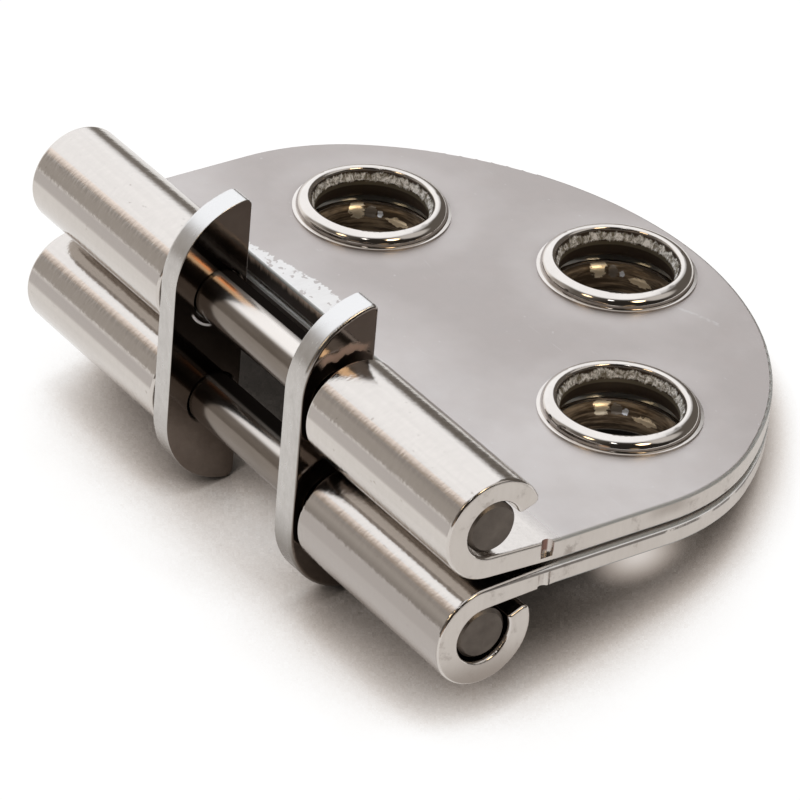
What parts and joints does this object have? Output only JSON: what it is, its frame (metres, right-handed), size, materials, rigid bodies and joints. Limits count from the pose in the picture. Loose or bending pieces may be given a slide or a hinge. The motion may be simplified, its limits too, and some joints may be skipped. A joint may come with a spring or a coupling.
{
  "type": "double pivot link hinge",
  "caption": "Half-round plate hinge: two leaves with rolled knuckles and eyelet holes, folded face to face, turn on two parallel pins joined by link plates.",
  "frame": {"origin": "centre of the folded hinge's box, midway between the two leaves", "axes": "+X along the pins, +Y from the pins to the leaves' round ends, +Z square to the folded leaves, towards the upper leaf"},
  "size_m": [0.0616, 0.0474, 0.027],
  "materials": {
    "leaf_plate": "satin nickel plate on rolled steel sheet",
    "pin_steel": "bright nickel-plated drawn steel",
    "link_steel": "polished nickel-plated steel",
    "eyelet_nickel": "polished nickel"
  },
  "bodies": {
    "upper_leaf": {"upper_leaf": "leaf_plate", "upper_pin": "pin_steel", "upper_eyelet_left": "eyelet_nickel", "upper_eyelet_right": "eyelet_nickel", "upper_eyelet_apex": "eyelet_nickel"},
    "links": {"left_link": "link_steel", "right_link": "link_steel"},
    "lower_leaf": {"lower_leaf": "leaf_plate", "lower_pin": "pin_steel", "lower_eyelet_left": "eyelet_nickel", "lower_eyelet_right": "eyelet_nickel", "lower_eyelet_apex": "eyelet_nickel"}
  },
  "joints": [
    {"name": "upper_pivot", "type": "hinge", "parent": "upper_leaf", "child": "links", "pos_m": [0, -0.01925, 0.005], "axis": [-1, 0, 0], "range_deg": [0, 180]},
    {"name": "lower_pivot", "type": "hinge", "parent": "links", "child": "lower_leaf", "pos_m": [0, -0.01925, -0.005], "axis": [-1, 0, 0], "range_deg": [0, 180]}
  ]
}
